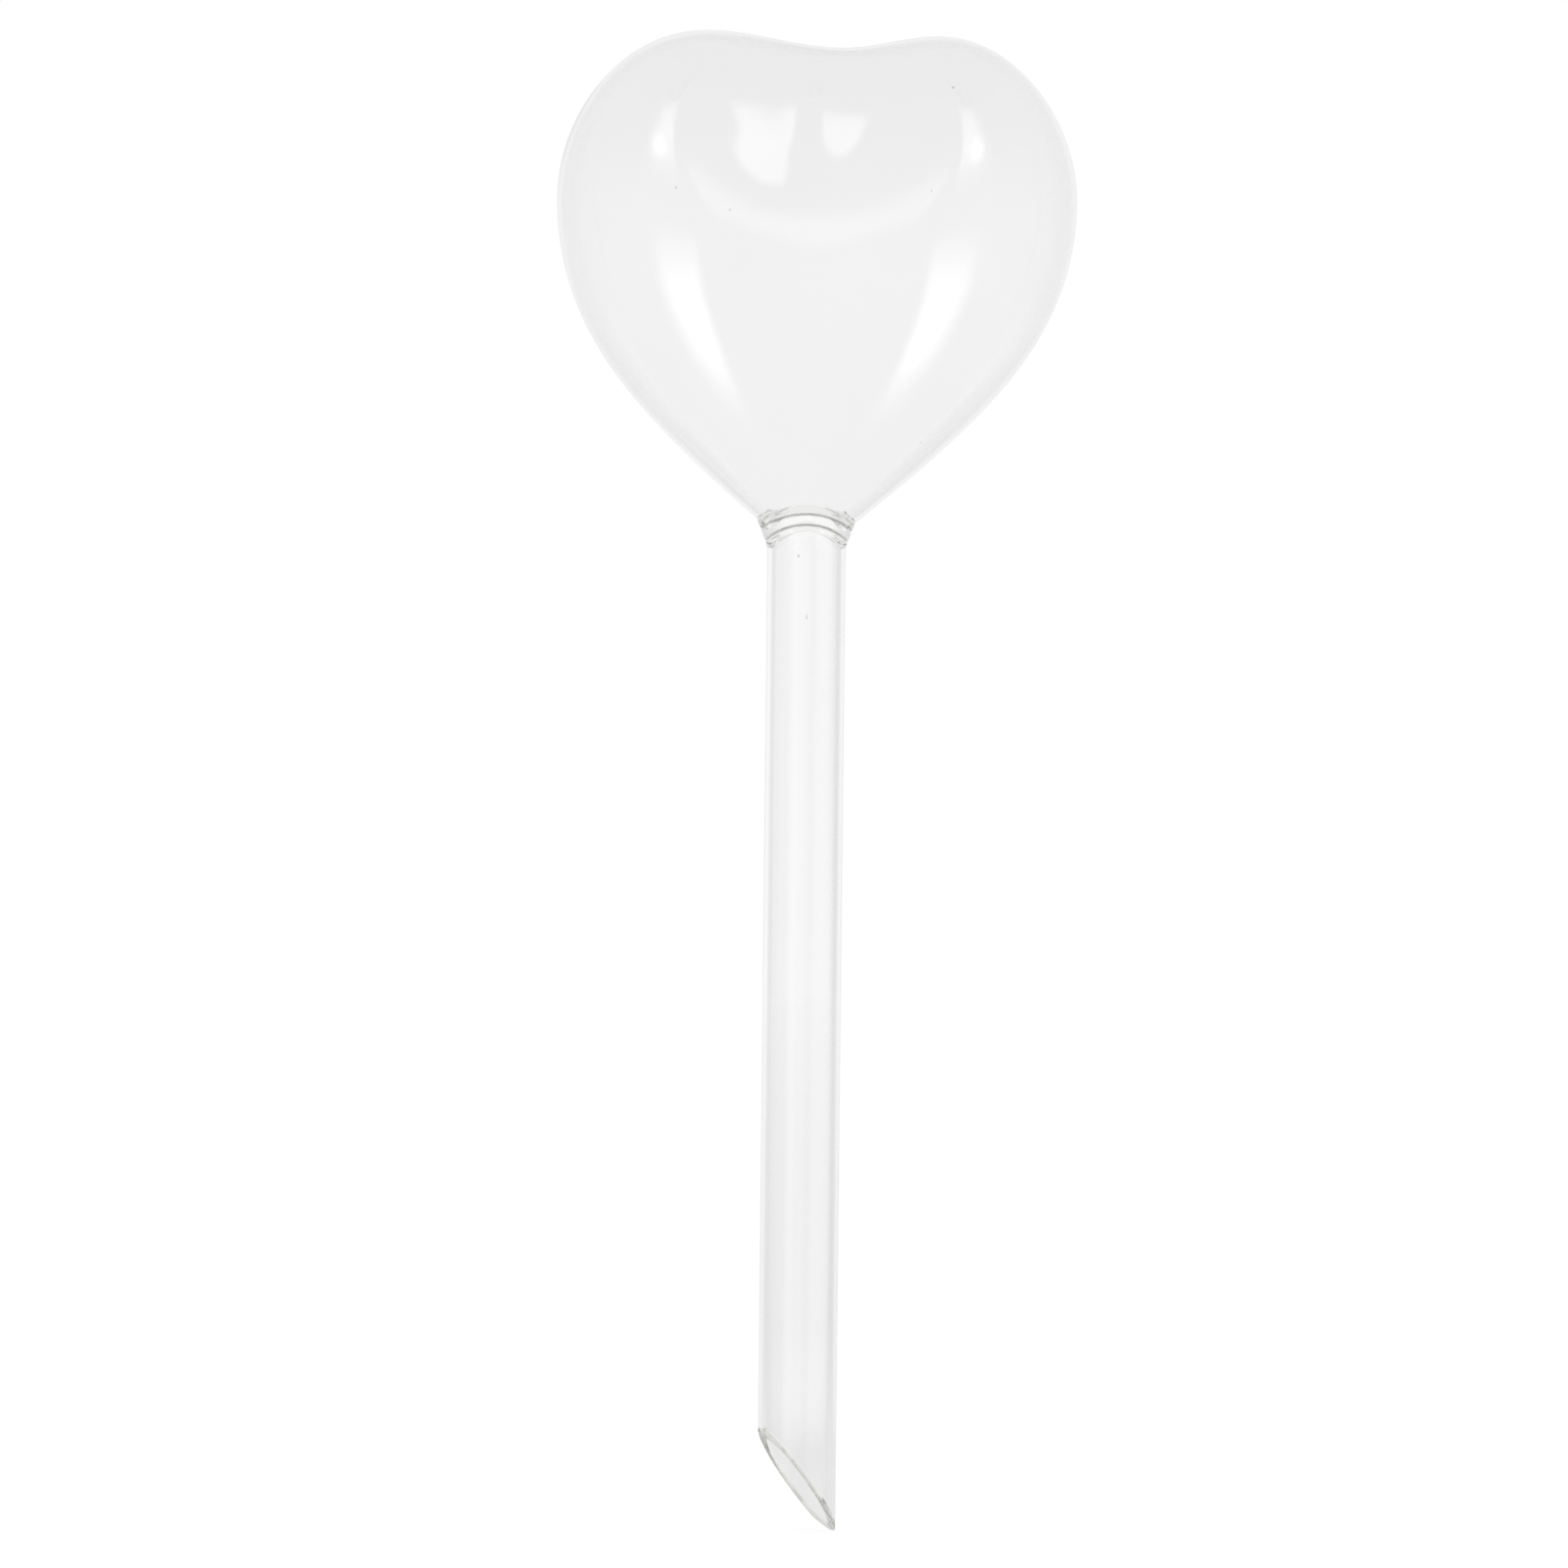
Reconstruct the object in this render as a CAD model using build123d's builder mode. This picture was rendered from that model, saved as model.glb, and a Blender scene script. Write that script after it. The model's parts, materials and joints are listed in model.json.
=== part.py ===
from build123d import *
import os
from math import asin, cos, exp, pi, radians, sin, sqrt, tan

# A heart-shaped glass watering globe. A blown bulb is sealed by flame to a drawn stem, whose slanted, open
# tip goes into the soil. Millimetres and degrees. +Z runs up the stem's axis, +X to the right as seen from the
# front, +Y to the back. The origin is on the axis at the top of the stem, the deepest that it can be planted.

# Stem: a straight length of stock tube
stem_diameter = 12.0
stem_wall = 1.2
stem_length = 151.0  # from the origin down to the point of the tip, before the flame rounds it
tip_slant = 36.5  # angle between the cut and the stem's axis
tip_turn = 19.4  # the open side faces left, turned this far to the front
tip_polish = 0.35  # rounding that the flame leaves on the edges of the cut

# Neck: the seam between stem and weld arches up at the front and back
seam_foot = 0.15  # height of the seam at the sides
seam_arch = 2.55  # and at the front and back
weld_rise = 7.5  # height at which the weld's flare has run out inside the bulb's outline
weld_width = 18.3  # across the flare at that height, side to side
weld_depth = 12.8  # and front to back
bore_top = 1.0  # height at which the straight bore ends and the bead begins
weld_bead = 0.4  # how far the molten bead stands into the bore

# Bulb: a flattened egg, drawn out to the neck, with a cleft pressed into its crown
bulb_wall = 1.2
bulb_depth = 50.0  # front to back, at the widest level
reach_left = 38.8  # from the stem's axis to the side of each lobe
reach_right = 40.9
crown_rise = 33.6  # from the widest level to the crown, before the cleft is pressed in
belly_drop = 40.2  # from the widest level to the bottom of the plain egg
neck_draw = 14.3  # how much further the point is drawn down, at the axis
neck_bury = 1.5  # how far below the origin the drawn point would end
lobe_round = 6.0  # extra half depth that keeps the ends of the lobes round
lobe_flat = 1.0  # radius of the small flat that closes each lobe at its side
heel_pinch = 14.2  # how much the half depth is drawn in towards the neck
cleft_press = 9.8  # how deep the cleft is pressed into the crown
cleft_offset = 3.5  # the cleft's place to the right of the axis
cleft_spread_left = 23.0  # how far the press is felt on each side of the cleft
cleft_spread_right = 18.0
crease_depth = 2.6  # the hollow that runs from the cleft down the front and back

# Fineness of the bulb's surface
slice_count = 16
slice_points = 24

stem_radius = stem_diameter / 2
bore_radius = stem_radius - stem_wall
widest_height = belly_drop + neck_draw - neck_bury


def cleft_press_at(x):
    """How strongly the press of the cleft is felt at x, from 1 in the cleft to nearly 0 at the sides."""
    spread = cleft_spread_left if x < cleft_offset else cleft_spread_right
    return exp(-(((x - cleft_offset) / spread) ** 2))


def slice_outline(station, inset):
    """Place and points of an upright slice, for a station from -1 at the left end to 1 at the right end."""
    reach = (reach_left if station < 0 else reach_right) - inset
    x = station * reach
    span = sqrt(1 - station**2)
    drawn = (1 - abs(station)) ** 2
    pressed = cleft_press_at(x)
    rise = span * (crown_rise - cleft_press * pressed - inset)
    drop = span * (belly_drop + neck_draw * drawn - inset)
    depth = span * (bulb_depth / 2 + lobe_round * station**2 - inset)
    points = []
    for step in range(slice_points):
        angle = 2 * pi * step / slice_points
        out = cos(angle)
        up = sin(angle)
        if up > 0:
            hollow = 4 * crease_depth * pressed * span * abs(out) * up**2
        else:
            hollow = heel_pinch * drawn * span * up**2
        y = out * (depth - hollow)
        z = widest_height + up * ((rise + drop) / 2 + up * (rise - drop) / 2)
        points.append((y, z))
    return x, points


def heart_sections(inset):
    """Slices of the heart from its left end to its right end, drawn in by the inset all round."""
    first = asin(lobe_flat / (bulb_depth / 2 + lobe_round))
    sections = []
    for step in range(slice_count + 1):
        x, points = slice_outline(-cos(first + (pi - 2 * first) * step / slice_count), inset)
        with BuildSketch(Plane.YZ.offset(x)) as section:
            with BuildLine():
                Spline(*points, periodic=True)
            make_face()
        sections.append(section.sketch)
    return sections


outer_sections = heart_sections(0)
inner_sections = heart_sections(bulb_wall)

# Throat: the bore through the neck, waisted by the bead of the weld
with BuildSketch(Plane.XZ) as throat:
    with BuildLine():
        low = (bore_radius, bore_top)
        high = (bore_radius, weld_rise)
        waist = (bore_radius - weld_bead, (bore_top + weld_rise) / 2)
        ThreePointArc(low, waist, high)
        Polyline(high, (0, weld_rise), (0, -weld_rise), (bore_radius, -weld_rise), low)
    make_face()

# Stem end: everything below the arched seam
with BuildSketch(Plane.XZ) as below_seam:
    with BuildLine():
        left = (-stem_radius, seam_foot)
        right = (stem_radius, seam_foot)
        ThreePointArc(left, (0, seam_arch), right)
        Polyline(
            right,
            (weld_width / 2, seam_foot),
            (weld_width / 2, -weld_rise),
            (-weld_width / 2, -weld_rise),
            (-weld_width / 2, seam_foot),
            left,
        )
    make_face()

# Blown bulb
with BuildPart() as heart_bulb:
    loft(outer_sections)
    loft(inner_sections, mode=Mode.SUBTRACT)
    revolve(throat.sketch, axis=Axis.Z, mode=Mode.SUBTRACT)

# Neck: the softened glass that flares from the stem to the bulb, before the seam parts it
with BuildPart() as neck_flare:
    with BuildSketch(Plane.XY):
        Circle(stem_radius)
    with BuildSketch(Plane.XY.offset(weld_rise)):
        Ellipse(weld_width / 2, weld_depth / 2)
    loft()
    loft(outer_sections, mode=Mode.SUBTRACT)
    revolve(throat.sketch, axis=Axis.Z, mode=Mode.SUBTRACT)

# Drawn stem, with the start of the flare below the seam
with BuildPart() as stem_tube:
    add(neck_flare.part)
    extrude(below_seam.sketch, amount=weld_depth, both=True, mode=Mode.INTERSECT)
    with BuildSketch(Plane.XY.offset(-stem_length)):
        Circle(stem_radius)
        Circle(bore_radius, mode=Mode.SUBTRACT)
    extrude(amount=stem_length)
    slant = radians(tip_slant)
    turn = radians(tip_turn)
    cut_plane = Plane(
        origin=(0, 0, stem_radius / tan(slant) - stem_length),
        z_dir=(cos(slant) * cos(turn), cos(slant) * sin(turn), sin(slant)),
    )
    split(bisect_by=cut_plane, keep=Keep.TOP)
    cut_face = stem_tube.faces().sort_by(Axis.Z)[0]
    fillet(cut_face.edges(), min(tip_polish, 0.3 * stem_wall))

# Flame weld, the rest of the flare above the seam
with BuildPart() as neck_weld:
    add(neck_flare.part)
    extrude(below_seam.sketch, amount=weld_depth, both=True, mode=Mode.SUBTRACT)

heart_bulb.part.label = "heart_bulb"
stem_tube.part.label = "stem_tube"
neck_weld.part.label = "neck_weld"

os.makedirs("parts", exist_ok=True)
export_step(heart_bulb.part, "parts/heart_bulb.step")
export_step(stem_tube.part, "parts/stem_tube.step")
export_step(neck_weld.part, "parts/neck_weld.step")
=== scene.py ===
import json
from math import atan2, cos, exp, pi, radians, sin, sqrt, tan

import bmesh
import bpy
from bpy.props import FloatProperty, FloatVectorProperty, IntProperty, PointerProperty
from mathutils import Matrix, Vector, noise


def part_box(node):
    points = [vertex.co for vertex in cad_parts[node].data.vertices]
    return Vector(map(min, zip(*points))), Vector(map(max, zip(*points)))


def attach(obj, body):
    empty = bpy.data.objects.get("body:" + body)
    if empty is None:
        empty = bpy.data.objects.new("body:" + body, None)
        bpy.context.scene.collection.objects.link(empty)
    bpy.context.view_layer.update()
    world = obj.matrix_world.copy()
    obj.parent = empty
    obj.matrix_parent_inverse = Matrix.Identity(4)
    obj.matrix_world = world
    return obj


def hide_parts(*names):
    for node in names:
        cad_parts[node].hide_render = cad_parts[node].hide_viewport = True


bl_info = {
    "name": "Heart watering globe",
    "version": (1, 0, 0),
    "blender": (4, 5, 0),
    "location": "3D View > Sidebar > Globe",
    "description": "Builds a heart-shaped glass watering globe and its studio",
    "category": "Object",
}

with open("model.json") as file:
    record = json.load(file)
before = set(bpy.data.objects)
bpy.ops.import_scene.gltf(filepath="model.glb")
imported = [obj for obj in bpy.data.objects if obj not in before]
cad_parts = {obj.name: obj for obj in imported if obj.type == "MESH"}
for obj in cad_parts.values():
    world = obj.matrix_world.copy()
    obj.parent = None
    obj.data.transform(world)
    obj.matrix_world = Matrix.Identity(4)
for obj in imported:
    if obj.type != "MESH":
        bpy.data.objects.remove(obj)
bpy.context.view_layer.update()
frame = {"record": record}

MM = 0.001
mounts = {mount["name"]: mount for mount in frame["record"]["mounts"]}
STEM_RADIUS = mounts["stem"]["dims"]["r_mm"] * MM
BORE_RADIUS = mounts["bore"]["dims"]["r_mm"] * MM
TIP_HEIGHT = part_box("stem_tube")[0].z

# How strongly borosilicate glass bends light.
GLASS_INDEX = 1.47

# Material slots of the pieces.
OPEN_SKIN = 0
FUSED_FACE = 1
CUT_FACE = 2

# Edges sharper than these stay crisp in smoothing, or are rounded by the flame at the tip.
CRISP_ANGLE = radians(35)
RIM_ANGLE = radians(30)

# Quads of the heart's grid across the throat and the weld's foot, and the bottom of its cube.
THROAT_QUADS = 8
FOOT_QUADS = 12
CUBE_BOTTOM = -0.9999
CUBE_SLACK = 1e-5

# Share of a ring's height within which a face belongs to its end.
RING_END = 0.001

# Rounds of the searches for an aim, a seam's height and the end of the flare.
AIM_ROUNDS = 16
SEAM_ROUNDS = 12
HEEL_ROUNDS = 24

# Downward shares of an aim: where the wall starts to thicken, and between which the ripples fade out.
THICK_FROM = 0.3
CALM_FROM = 0.8
CALM_TO = 0.95

# Where in the noise the ripples of the outer and of the inner skin are taken from.
OUTER_SEED = 0.0
INNER_SEED = 7.3

# Shares along the stem, from the cut to the seam, at which its outline has a point.
STEM_STATIONS = (0.0, 0.008, 0.02, 0.05, 0.12, 0.25, 0.4, 0.55, 0.7, 0.83, 0.92, 0.965, 0.98, 0.985, 0.99,
                 0.995, 1.0)

# Shares across the weld's ends, and down its inside, at which its outline has a point.
WELD_ACROSS = (0.0, 0.5, 1.0)
WELD_INSIDE = (0.85, 0.7, 0.55, 0.4, 0.25, 0.12)

# Across, height, width and length of each seed, in millimetres, as seen from the front.
HEART_SEEDS = (
    (-20.3, 53.8, 0.2, 0.35), (-12.1, 50.5, 0.25, 0.3), (21.4, 69.7, 0.3, 0.4), (18.2, 53.7, 0.15, 0.25),
    (17.3, 16.2, 0.2, 0.2),
)
STEM_SEEDS = ((-1.18, -1.21, 0.3, 0.45), (0.12, -10.5, 0.2, 0.8))

# Shares of a unit aim, upwards or towards the backdrop, between which the tone of the room changes.
CEILING_AIMS = (0.5, 1.0)
SIDE_AIMS = (0.75, 0.99)
GLOSS_AIMS = (0.0, 0.8)
BACKDROP_AIMS = (-0.3, 0.5)

# Edges of each lamp's cloth: the shares, across it or up it, at which it is dark and fully lit.
SOFTBOX_ACROSS = ((0.0, 0.12), (1.0, 0.25))
SOFTBOX_UP = ((0.15, 0.45), (0.8, 0.55))
SHEET_ACROSS = ((0.0, 0.15), (1.0, 0.5))
SHEET_UP = ((0.05, 0.65), (1.0, 0.75))
FILL_ACROSS = ((0.0, 0.15), (1.0, 0.85))
FILL_UP = ((0.0, 0.4), (1.0, 0.6))

# The outer side of a sheet leans in towards its top: how much, and between which shares it fades out.
SHEET_LEAN = 0.7
SHEET_SLANT = (0.78, 1.3)

FLOOR_SIDES = 96


def linear(code):
    """Linear RGBA of an sRGB hex colour."""
    shares = [int(code[at:at + 2], 16) / 255 for at in (1, 3, 5)]
    return [s / 12.92 if s <= 0.04045 else ((s + 0.055) / 1.055) ** 2.4 for s in shares] + [1.0]


def length(name, description, millimetres):
    """A length that a user may change, with its default in millimetres."""
    return FloatProperty(name=name, description=description, default=millimetres * MM, min=0.0,
                         precision=5, subtype="DISTANCE", unit="LENGTH")


def factor(name, description, default, low=0.0, high=1.0):
    """A share that a user may change."""
    return FloatProperty(name=name, description=description, default=default, min=low, max=high,
                         subtype="FACTOR")


def tilt(name, description, degrees):
    """An angle that a user may change, with its default in degrees."""
    return FloatProperty(name=name, description=description, default=radians(degrees), subtype="ANGLE",
                         unit="ROTATION")


def level(name, description, default):
    """A brightness that a user may change."""
    return FloatProperty(name=name, description=description, default=default, min=0.0)


def tint(name, description, code):
    """A colour that a user may change."""
    return FloatVectorProperty(name=name, description=description, subtype="COLOR", size=4, min=0.0, max=1.0,
                               default=linear(code))


class HeartBulbSizes(bpy.types.PropertyGroup):
    """Sizes of the blown heart."""

    reach_left: length("Left reach", "From the stem's axis to the side of the left lobe", 38.8)
    reach_right: length("Right reach", "From the stem's axis to the side of the right lobe", 40.9)
    depth: length("Depth", "Front to back at the widest level", 50.0)
    middle: length("Middle height", "Height of the widest level above the stem's top", 53.0)
    crown_rise: length("Crown rise", "From the widest level to the crown, before the cleft", 33.6)
    belly_drop: length("Belly drop", "From the widest level to the bottom of the plain egg", 40.2)
    neck_draw: length("Neck draw", "How much further the point is drawn down at the axis", 14.3)
    lobe_round: length("Lobe rounding", "Extra half depth that keeps the ends of the lobes round", 6.0)
    heel_pinch: length("Heel pinch", "How much the half depth is drawn in towards the neck", 14.2)
    cleft_press: length("Cleft press", "How deep the cleft is pressed into the crown", 9.8)
    cleft_offset: length("Cleft offset", "The cleft's place to the right of the axis", 3.5)
    cleft_left: length("Cleft spread left", "How far the press is felt to the left", 23.0)
    cleft_right: length("Cleft spread right", "How far the press is felt to the right", 18.0)
    crease: length("Crease", "Depth of the hollow below the cleft, front and back", 2.6)
    dent: length("Dent", "Depth of the dent below the cleft, front and back", 3.0)
    dent_low: length("Dent foot", "Height of the point at which the dent ends", 39.6)
    dent_rise: length("Dent rise", "How much higher the dent ends at its half width", 9.5)
    dent_half: length("Dent half width", "From the middle of the dent to its side", 19.0)
    dent_right: length("Dent offset", "From the axis to the middle of the dent, to the right", 1.4)
    dent_point: length("Dent point", "Rounding of the point at which the dent ends", 0.8)
    dent_run: length("Dent run", "Length over which the dent fades out", 17.0)
    fold: length("Fold", "Depth of the fold along the middle of the dent", 2.9)
    fold_left: length("Fold offset", "From the axis to the middle of the fold, to the left", 0.8)
    fold_steep: length("Fold left half", "From the middle of the fold to its steeper left side", 7.2)
    fold_wide: length("Fold right half", "From the middle of the fold to its right side", 7.6)
    fold_low: length("Fold foot", "Height at which the fold ends", 49.0)
    fold_run: length("Fold run", "Length over which the fold fades out", 15.0)
    wall: length("Wall", "Thickness of the blown wall at the neck", 1.0)
    wall_blown: length("Blown wall", "Thickness of the wall in the lobes, where it is thinner", 0.6)
    ripple: length("Ripple", "Unevenness that blowing by hand leaves in the wall", 0.07)
    ripple_span: length("Ripple span", "Size of one such unevenness", 19.0)
    keel: factor("Keel", "Share of the reach over which the drawn point is rounded", 0.12, 0.01, 0.5)
    rows: IntProperty(name="Rows", description="Quads along each side of the bulb's grid", default=44, min=16,
                      max=44, step=2)


class NeckSizes(bpy.types.PropertyGroup):
    """Sizes of the flame weld."""

    seam_foot: length("Seam foot", "Height of the seam at the sides", 0.15)
    seam_arch: length("Seam arch", "Height of the seam at the front and back", 2.55)
    flare_rise: length("Flare rise", "Height at which the flare has run out", 7.5)
    flare_width: length("Flare width", "Across the flare at that height, side to side", 18.3)
    flare_depth: length("Flare depth", "Across the flare at that height, front to back", 12.8)
    flare_bend: FloatProperty(name="Flare bend", description="How softly the flare leaves the straight stem",
                              default=1.3, min=1.0, max=2.0)
    bore_top: length("Bore top", "Height at which the straight bore ends and the bead begins", 1.0)
    bead: length("Bead", "How far the fused glass stands into the bore", 0.12)
    groove: length("Groove", "Depth of the two seams round the fused ring", 0.15)
    seam_low: factor("Lower seam", "Share of the ring's height below its lower seam", 0.24, 0.15, 0.4)
    seam_high: factor("Upper seam", "Share of the ring's height below its upper seam", 0.65, 0.6, 0.85)
    seam_half: factor("Seam half width", "Share of that height from a seam to its edge", 0.08, 0.01, 0.1)
    # Painted shade in the seams: how much of it is left at the back.
    seam_shade_back: factor("Seam at the back", "How dark the seams are at the back, against the front", 0.1)
    gap: length("Gap", "Space between the pieces where they are fused", 0.01)


class StemTubeSizes(bpy.types.PropertyGroup):
    """Sizes of the drawn stem and its cut tip."""

    radius: length("Radius", "Outside radius of the tube", STEM_RADIUS / MM)
    bore: length("Bore radius", "Inside radius of the tube", BORE_RADIUS / MM)
    reach: length("Length", "From the stem's top to the point of the tip before polishing", 151.0)
    slant: tilt("Tip slant", "Angle between the cut and the stem's axis", 36.5)
    turn: tilt("Tip turn", "How far the open side is turned from the left to the front", 19.4)
    polish: length("Tip polish", "Rounding that the flame leaves on the edges of the cut", 0.35)
    flame: length("Flame reach", "Height of the point that the flame shortens", 2.0)
    # Painted shade of the cut: how much further it reaches at the point, on the front.
    shade_reach: length("Dark point", "How much further the dark of the cut reaches at the point", 0.2)
    shade_rise: length("Dark point rise", "Height above the point over which it does so", 5.0)
    wander: length("Draw wander", "Unevenness along the tube from drawing", 0.015)
    wander_span: length("Wander span", "Size of one such unevenness round the tube", 5.0)
    wander_stretch: FloatProperty(name="Wander stretch", default=9.0, min=1.0,
                                  description="How many times longer it is along the tube")
    steps: IntProperty(name="Steps", description="Sides of the tube", default=96, min=24, max=192)


class GlassFinish(bpy.types.PropertyGroup):
    """Tints of the glass, with painted shade towards the crown, along the weld's seams and in the cut at the
    tip.
    """

    clear: tint("Clear glass", "Tint of the blown bulb", "#FBFBFB")
    # Painted shade: a darker tint towards the top of the bulb.
    crown: tint("Crown glass", "Tint towards the crown", "#F8F8F8")
    thick: tint("Thicker glass", "Tint where the blown wall is a little thicker", "#F9F9F9")
    tube: tint("Tube glass", "Tint of the drawn stem", "#FEFEFE")
    streak: tint("Tube streaks", "Tint of the streaks along the drawn stem", "#F9F9F9")
    # Painted shade: the cut at the tip is tinted dark grey-olive, with lighter clouds.
    edge: tint("Cut edge", "Tint of the cut at the tip, which light reaches along the wall", "#7A7C70")
    rim: tint("Cut rim", "Tint of the lighter clouds in that cut", "#F0F0EC")
    fused: tint("Fused glass", "Tint of the flame weld", "#FBFBFA")
    # Painted shade: the dark tint of the lines round the weld.
    seam: tint("Seam", "Tint of the two lines round the flame weld", "#55554C")
    seed: tint("Seed", "Tint of the small bubbles in the wall", "#E0E0DC")


class StudioSettings(bpy.types.PropertyGroup):
    """Floor, room, lamps and camera."""

    paper: tint("Paper", "Colour of the floor", "#F4F4F2")
    paper_fibre: tint("Paper fibre", "Colour of the lighter fibres in the floor", "#FAFAF9")
    paper_reach: length("Paper reach", "Radius of the floor", 4000.0)
    paper_glow: level("Paper glow", "Brightness of the floor's own light", 1.06)
    paper_share: factor("Paper glow share", "Share of the floor's light that is its own", 0.85)
    paper_far: factor("Far paper", "Brightness of the floor's edge, through the glass", 0.982)
    dim_start: length("Dim start", "Where the floor starts to dim, through the glass", 200.0)
    dim_end: length("Dim end", "Where the floor is dimmest, through the glass", 600.0)
    paper_dim: factor("Dim paper", "Brightness of the floor there, through the glass", 0.915)
    room: level("Room light", "Brightness of the room on matt surfaces", 0.75)
    gloss_low: level("Low gloss", "Brightness of the room near the floor in reflections", 0.7)
    gloss_high: level("High gloss", "Brightness of the room overhead in reflections", 0.25)
    gloss_back: level("Backdrop gloss", "Brightness of the backdrop in reflections", 0.82)
    ceiling: level("Ceiling", "Brightness overhead that shows through the glass", 0.75)
    sides: level("Sides", "Brightness beside the backdrop that shows through the glass", 0.8)
    lamp: level("Softbox", "Brightness of each softbox at its brightest", 3.0)
    lamp_cloth: factor("Softbox cloth", "Share of that brightness round the hot spot", 0.2)
    lamp_wide: length("Softbox width", "Width of each softbox", 725.0)
    lamp_tall: length("Softbox height", "Height of each softbox", 1090.0)
    lamp_turn: tilt("Softbox turn", "Angle from the camera to each softbox", 40.5)
    lamp_lift: tilt("Softbox lift", "Elevation of each softbox", 33.0)
    lamp_lean: tilt("Softbox lean", "Roll of each softbox", 8.0)
    lamp_far: length("Lamp distance", "Distance of the lamps from the globe", 1250.0)
    lamp_aim: length("Lamp aim", "Height above the stem's top that the lamps face", 50.0)
    hot_reach: length("Hot spot radius", "From the middle of the hot spot to its edge", 220.0)
    hot_rise: factor("Hot spot height", "Share of the softbox's height below it", 0.43)
    hot_side: factor("Hot spot offset", "Share of the softbox's width that it lies further in", 0.02)
    sheet: level("Sheet", "Brightness of the sheet behind each softbox", 2.6)
    sheet_tall: length("Sheet height", "Height of the sheet behind each softbox", 1500.0)
    sheet_behind: length("Sheet distance", "How far the sheet hangs behind its softbox", 40.0)
    fill: level("Front fill", "Brightness of the fill light above the camera", 1.05)
    fill_wide: length("Front fill width", "Width of the fill light", 720.0)
    fill_tall: length("Front fill height", "Height of the fill light", 850.0)
    fill_lift: tilt("Front fill lift", "Elevation of the fill light", 14.5)
    camera_far: length("Camera distance", "Distance of the camera from the globe", 1600.0)
    camera_left: length("Camera offset", "How far it stands left of the stem's axis", 3.06)
    camera_below: length("Camera drop", "How far it stands below the stem's top", 36.03)
    view: length("View", "Width that the camera sees at the globe", 240.0)
    roll: tilt("Camera roll", "Lean of the globe in the picture", -0.614)
    bounces: IntProperty(name="Bounces", description="How often light may bend or bounce", default=320, min=1)


def add_node(tree, kind, inputs=(), **settings):
    """Add a shader node, set its options, and give each named input a value or a link."""
    node = tree.nodes.new("ShaderNode" + kind)
    for option, value in settings.items():
        setattr(node, option, value)
    for socket, value in dict(inputs).items():
        if isinstance(value, bpy.types.NodeSocket):
            tree.links.new(value, node.inputs[socket])
        else:
            node.inputs[socket].default_value = value
    return node


def remap(tree, value, span, ends, smooth=False):
    """Take a value from a span to a pair of ends, straight or with a smooth step."""
    return add_node(tree, "MapRange", {
        "Value": value, "From Min": span[0], "From Max": span[1], "To Min": ends[0], "To Max": ends[1],
    }, interpolation_type="SMOOTHSTEP" if smooth else "LINEAR").outputs[0]


def combine(tree, operation, *values):
    """Combine values by a mathematical operation."""
    return add_node(tree, "Math", enumerate(values), operation=operation).outputs[0]


def mix_levels(tree, share, first, second):
    """Mix two numbers."""
    return add_node(tree, "Mix", {0: share, 2: first, 3: second}, data_type="FLOAT").outputs[0]


def mix_tints(tree, share, first, second):
    """Mix two colours."""
    return add_node(tree, "Mix", {0: share, 6: first, 7: second}, data_type="RGBA").outputs[2]


def clouds(tree, place, span, detail, distortion=0.0):
    """Noise whose clouds have a span in millimetres."""
    return add_node(tree, "TexNoise", {
        "Vector": place, "Scale": 1 / (span * MM), "Detail": detail, "Distortion": distortion,
    }).outputs[0]


def new_material(name):
    """A material without nodes but for the place on the piece: the material, its tree and that place."""
    material = bpy.data.materials.new(name)
    material.use_nodes = True
    tree = material.node_tree
    tree.nodes.clear()
    return material, tree, add_node(tree, "TexCoord").outputs["Object"]


def glass_surface(tree, colour, roughness, relief, strength, depth):
    """The shader that every glass shares: clear borosilicate, with a relief whose depth is in millimetres."""
    bump = add_node(tree, "Bump", {"Height": relief, "Strength": strength, "Distance": depth * MM})
    glass = add_node(tree, "BsdfPrincipled", {
        "Base Color": colour, "Roughness": roughness, "Normal": bump.outputs[0], "IOR": GLASS_INDEX,
        "Transmission Weight": 1.0,
    })
    add_node(tree, "OutputMaterial", {"Surface": glass.outputs["BSDF"]})


def blown_borosilicate(finish):
    """Blown glass: almost clear, with slow waves in the wall, a faint haze of handling and painted shade
    towards the crown.
    """
    material, tree, place = new_material("blown_borosilicate_glass")
    wave = clouds(tree, place, 22, 1.0)
    haze = clouds(tree, place, 9, 4.0)
    body = mix_tints(tree, wave, finish.clear, finish.thick)
    # Painted shade: the tint darkens from 40 mm up towards the crown.
    height = add_node(tree, "SeparateXYZ", {0: place}).outputs["Z"]
    crown = remap(tree, height, (40 * MM, 80 * MM), (0.0, 1.0), smooth=True)
    shade = mix_tints(tree, crown, body, finish.crown)
    smudge = remap(tree, haze, (0.45, 0.8), (0.0, 0.03))
    glass_surface(tree, shade, smudge, wave, 0.6, 0.03)
    return material


def fused_inside():
    """Faces that lie inside fused glass: nothing to see but a faint film where the glass ran together."""
    material, tree, place = new_material("fused_inside_borosilicate")
    film = clouds(tree, place, 2, 1.0)
    cover = remap(tree, film, (0.5, 0.9), (0.0, 0.02))
    glass = add_node(tree, "BsdfPrincipled", {
        "Alpha": cover, "Roughness": 0.0, "IOR": GLASS_INDEX, "Transmission Weight": 1.0,
    })
    add_node(tree, "OutputMaterial", {"Surface": glass.outputs["BSDF"]})
    return material


def trapped_air(finish):
    """Seeds: small bubbles that were trapped in the melt, which read as specks."""
    material, tree, place = new_material("trapped_air_in_glass")
    cloud = clouds(tree, place, 5, 0.0)
    shade = mix_tints(tree, cloud, finish.seed, finish.fused)
    glass_surface(tree, shade, 0.02, cloud, 0.2, 0.01)
    return material


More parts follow.
